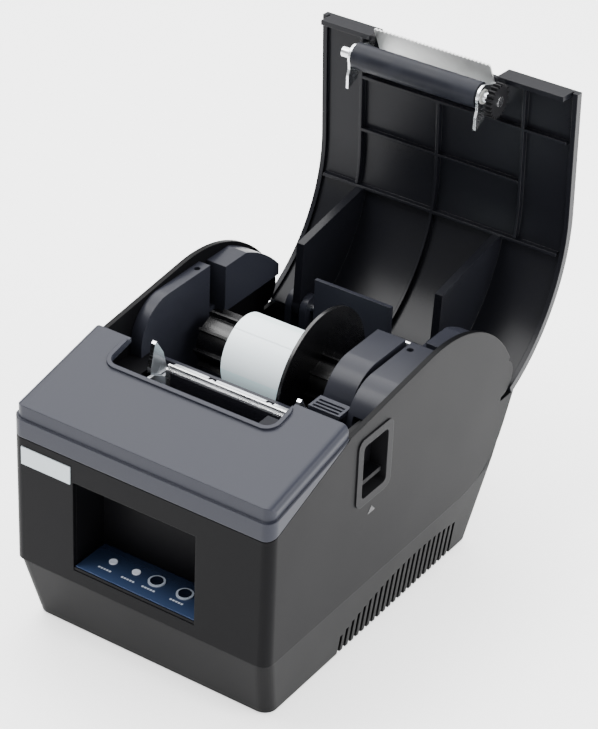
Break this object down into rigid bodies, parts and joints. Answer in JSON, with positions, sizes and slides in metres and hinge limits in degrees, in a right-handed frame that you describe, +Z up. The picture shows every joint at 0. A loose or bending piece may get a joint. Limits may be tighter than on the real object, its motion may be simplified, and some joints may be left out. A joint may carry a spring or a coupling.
{
  "type": "receipt printer",
  "caption": "Desktop thermal receipt printer with a clamshell lid held open, a paper roll between guides, a platen on the lid, a print head, a latch and front keys.",
  "frame": {"origin": "centre of the bounding box's underside, on the table, with the lid open", "axes": "+Z up, -Y towards the front face with the control recess, +X towards the side with the open button"},
  "size_m": [0.1362, 0.2412, 0.2153],
  "materials": {
    "rubber_feet": "matt moulded rubber",
    "bottom_case": "fine spark-eroded grain",
    "case_screws": "plated",
    "main_board": "solder resist",
    "board_screws": "plated",
    "power_jack": "black moulding",
    "usb_socket": "tinned shell",
    "drawer_socket": "black moulding",
    "connector_plate": "zinc plate",
    "switch_case": "black moulding",
    "power_rocker": "red moulding",
    "upper_case": "fine spark-eroded grain",
    "panel_housing": "smooth dark moulding",
    "panel_overlay": "printed film",
    "panel_board": "solder resist",
    "led_lenses": "clear tinted lens",
    "button_rings": "printed ring",
    "pause_button": "satin key top",
    "feed_button": "satin key top",
    "badge_plate": "blank pale plate",
    "open_bezel": "moulded frame",
    "open_button": "satin moulding",
    "front_cover": "fine grain with a soft sheen",
    "cover_screws": "plated",
    "inner_deck": "smooth moulding",
    "gear_cover": "smooth moulding",
    "paper_bin": "smooth moulding",
    "paper_guide": "polished trough",
    "head_frame": "pressed zinc-plated sheet",
    "heat_sink": "extruded",
    "print_head": "glazed ceramic strip",
    "head_springs": "spring wire",
    "head_cable": "flat film cable",
    "latch_shaft": "ground rod",
    "latch_hooks": "pressed plate",
    "latch_spring": "spring wire",
    "motor": "plated can",
    "motor_pinion": "cut teeth",
    "reduction_gear": "white acetal",
    "gear_axle": "ground rod",
    "fixed_guide": "black moulding",
    "sliding_guide": "black moulding",
    "guide_rail": "ground rod",
    "paper_roll": "wound thermal paper",
    "paper_core": "spiral card tube",
    "paper_sensor": "black sensor",
    "lid_switch": "black switch",
    "hinge_pin": "ground rod",
    "lid": "fine grain outside, smooth inside",
    "platen_bracket": "pressed zinc-plated sheet",
    "bracket_screws": "plated",
    "platen_bushings": "white acetal",
    "platen_shaft": "ground rod",
    "platen_sleeve": "ground dark rubber",
    "platen_gear": "black acetal",
    "tear_blade": "stamped toothed strip"
  },
  "bodies": {
    "case": {"rubber_feet": "rubber_feet", "bottom_case": "bottom_case", "case_screws": "case_screws", "main_board": "main_board", "board_screws": "board_screws", "power_jack": "power_jack", "usb_socket": "usb_socket", "drawer_socket": "drawer_socket", "connector_plate": "connector_plate", "switch_case": "switch_case", "upper_case": "upper_case", "panel_housing": "panel_housing", "panel_overlay": "panel_overlay", "panel_board": "panel_board", "led_lenses": "led_lenses", "button_rings": "button_rings", "badge_plate": "badge_plate", "open_bezel": "open_bezel", "front_cover": "front_cover", "cover_screws": "cover_screws", "inner_deck": "inner_deck", "gear_cover": "gear_cover", "paper_bin": "paper_bin", "paper_guide": "paper_guide", "head_frame": "head_frame", "head_cable": "head_cable", "latch_spring": "latch_spring", "motor": "motor", "gear_axle": "gear_axle", "fixed_guide": "fixed_guide", "guide_rail": "guide_rail", "paper_sensor": "paper_sensor", "lid_switch": "lid_switch", "hinge_pin": "hinge_pin"},
    "lid": {"lid": "lid", "platen_bracket": "platen_bracket", "bracket_screws": "bracket_screws", "platen_bushings": "platen_bushings", "tear_blade": "tear_blade"},
    "platen": {"platen_shaft": "platen_shaft", "platen_sleeve": "platen_sleeve", "platen_gear": "platen_gear"},
    "rocker": {"power_rocker": "power_rocker"},
    "pause_key": {"pause_button": "pause_button"},
    "feed_key": {"feed_button": "feed_button"},
    "open_slide": {"open_button": "open_button"},
    "latch": {"latch_shaft": "latch_shaft", "latch_hooks": "latch_hooks"},
    "head": {"heat_sink": "heat_sink", "print_head": "print_head", "head_springs": "head_springs"},
    "pinion": {"motor_pinion": "motor_pinion"},
    "reduction": {"reduction_gear": "reduction_gear"},
    "right_guide": {"sliding_guide": "sliding_guide"},
    "roll": {"paper_roll": "paper_roll", "paper_core": "paper_core"}
  },
  "joints": [
    {"name": "lid_hinge", "type": "hinge", "parent": "case", "child": "lid", "pos_m": [0, 0.06681, 0.083], "axis": [1, 0, 0], "range_deg": [0, 93.5]},
    {"name": "platen_spin", "type": "hinge", "parent": "lid", "child": "platen", "pos_m": [-0.006, 0.09772, 0.20334], "axis": [1, 0, 0], "continuous": true},
    {"name": "rocker_tilt", "type": "hinge", "parent": "case", "child": "rocker", "pos_m": [0.034, 0.04231, 0.0171], "axis": [1, 0, 0], "range_deg": [-20, 0]},
    {"name": "pause_press", "type": "slide", "parent": "case", "child": "pause_key", "axis": [0, 0, -1], "range_m": [0, 0.0008], "stiffness_N_per_m": 400},
    {"name": "feed_press", "type": "slide", "parent": "case", "child": "feed_key", "axis": [0, 0, -1], "range_m": [0, 0.0008], "stiffness_N_per_m": 400},
    {"name": "open_lift", "type": "slide", "parent": "case", "child": "open_slide", "axis": [0, 0, 1], "range_m": [0, 0.0024], "stiffness_N_per_m": 800},
    {"name": "latch_turn", "type": "hinge", "parent": "case", "child": "latch", "pos_m": [0, -0.04119, 0.0765], "axis": [-1, 0, 0], "range_deg": [0, 10]},
    {"name": "head_rock", "type": "hinge", "parent": "case", "child": "head", "pos_m": [0, -0.04669, 0.0875], "axis": [-1, 0, 0], "range_deg": [0, 1.5], "stiffness_Nm_per_rad": 20},
    {"name": "reduction_spin", "type": "hinge", "parent": "case", "child": "reduction", "pos_m": [0, -0.05931, 0.08507], "axis": [1, 0, 0], "continuous": true},
    {"name": "motor_spin", "type": "hinge", "parent": "case", "child": "pinion", "pos_m": [0, -0.06847, 0.06921], "axis": [1, 0, 0], "continuous": true},
    {"name": "guide_slide", "type": "slide", "parent": "case", "child": "right_guide", "axis": [1, 0, 0], "range_m": [0, 0.017]},
    {"name": "roll_spin", "type": "hinge", "parent": "case", "child": "roll", "pos_m": [0, 0.00381, 0.092], "axis": [1, 0, 0], "continuous": true}
  ],
  "couplings": [
    {"joint": "motor_spin", "follows": "reduction_spin", "ratio": -3.3333},
    {"joint": "latch_turn", "follows": "open_lift", "rad_per_m": 72.722}
  ]
}
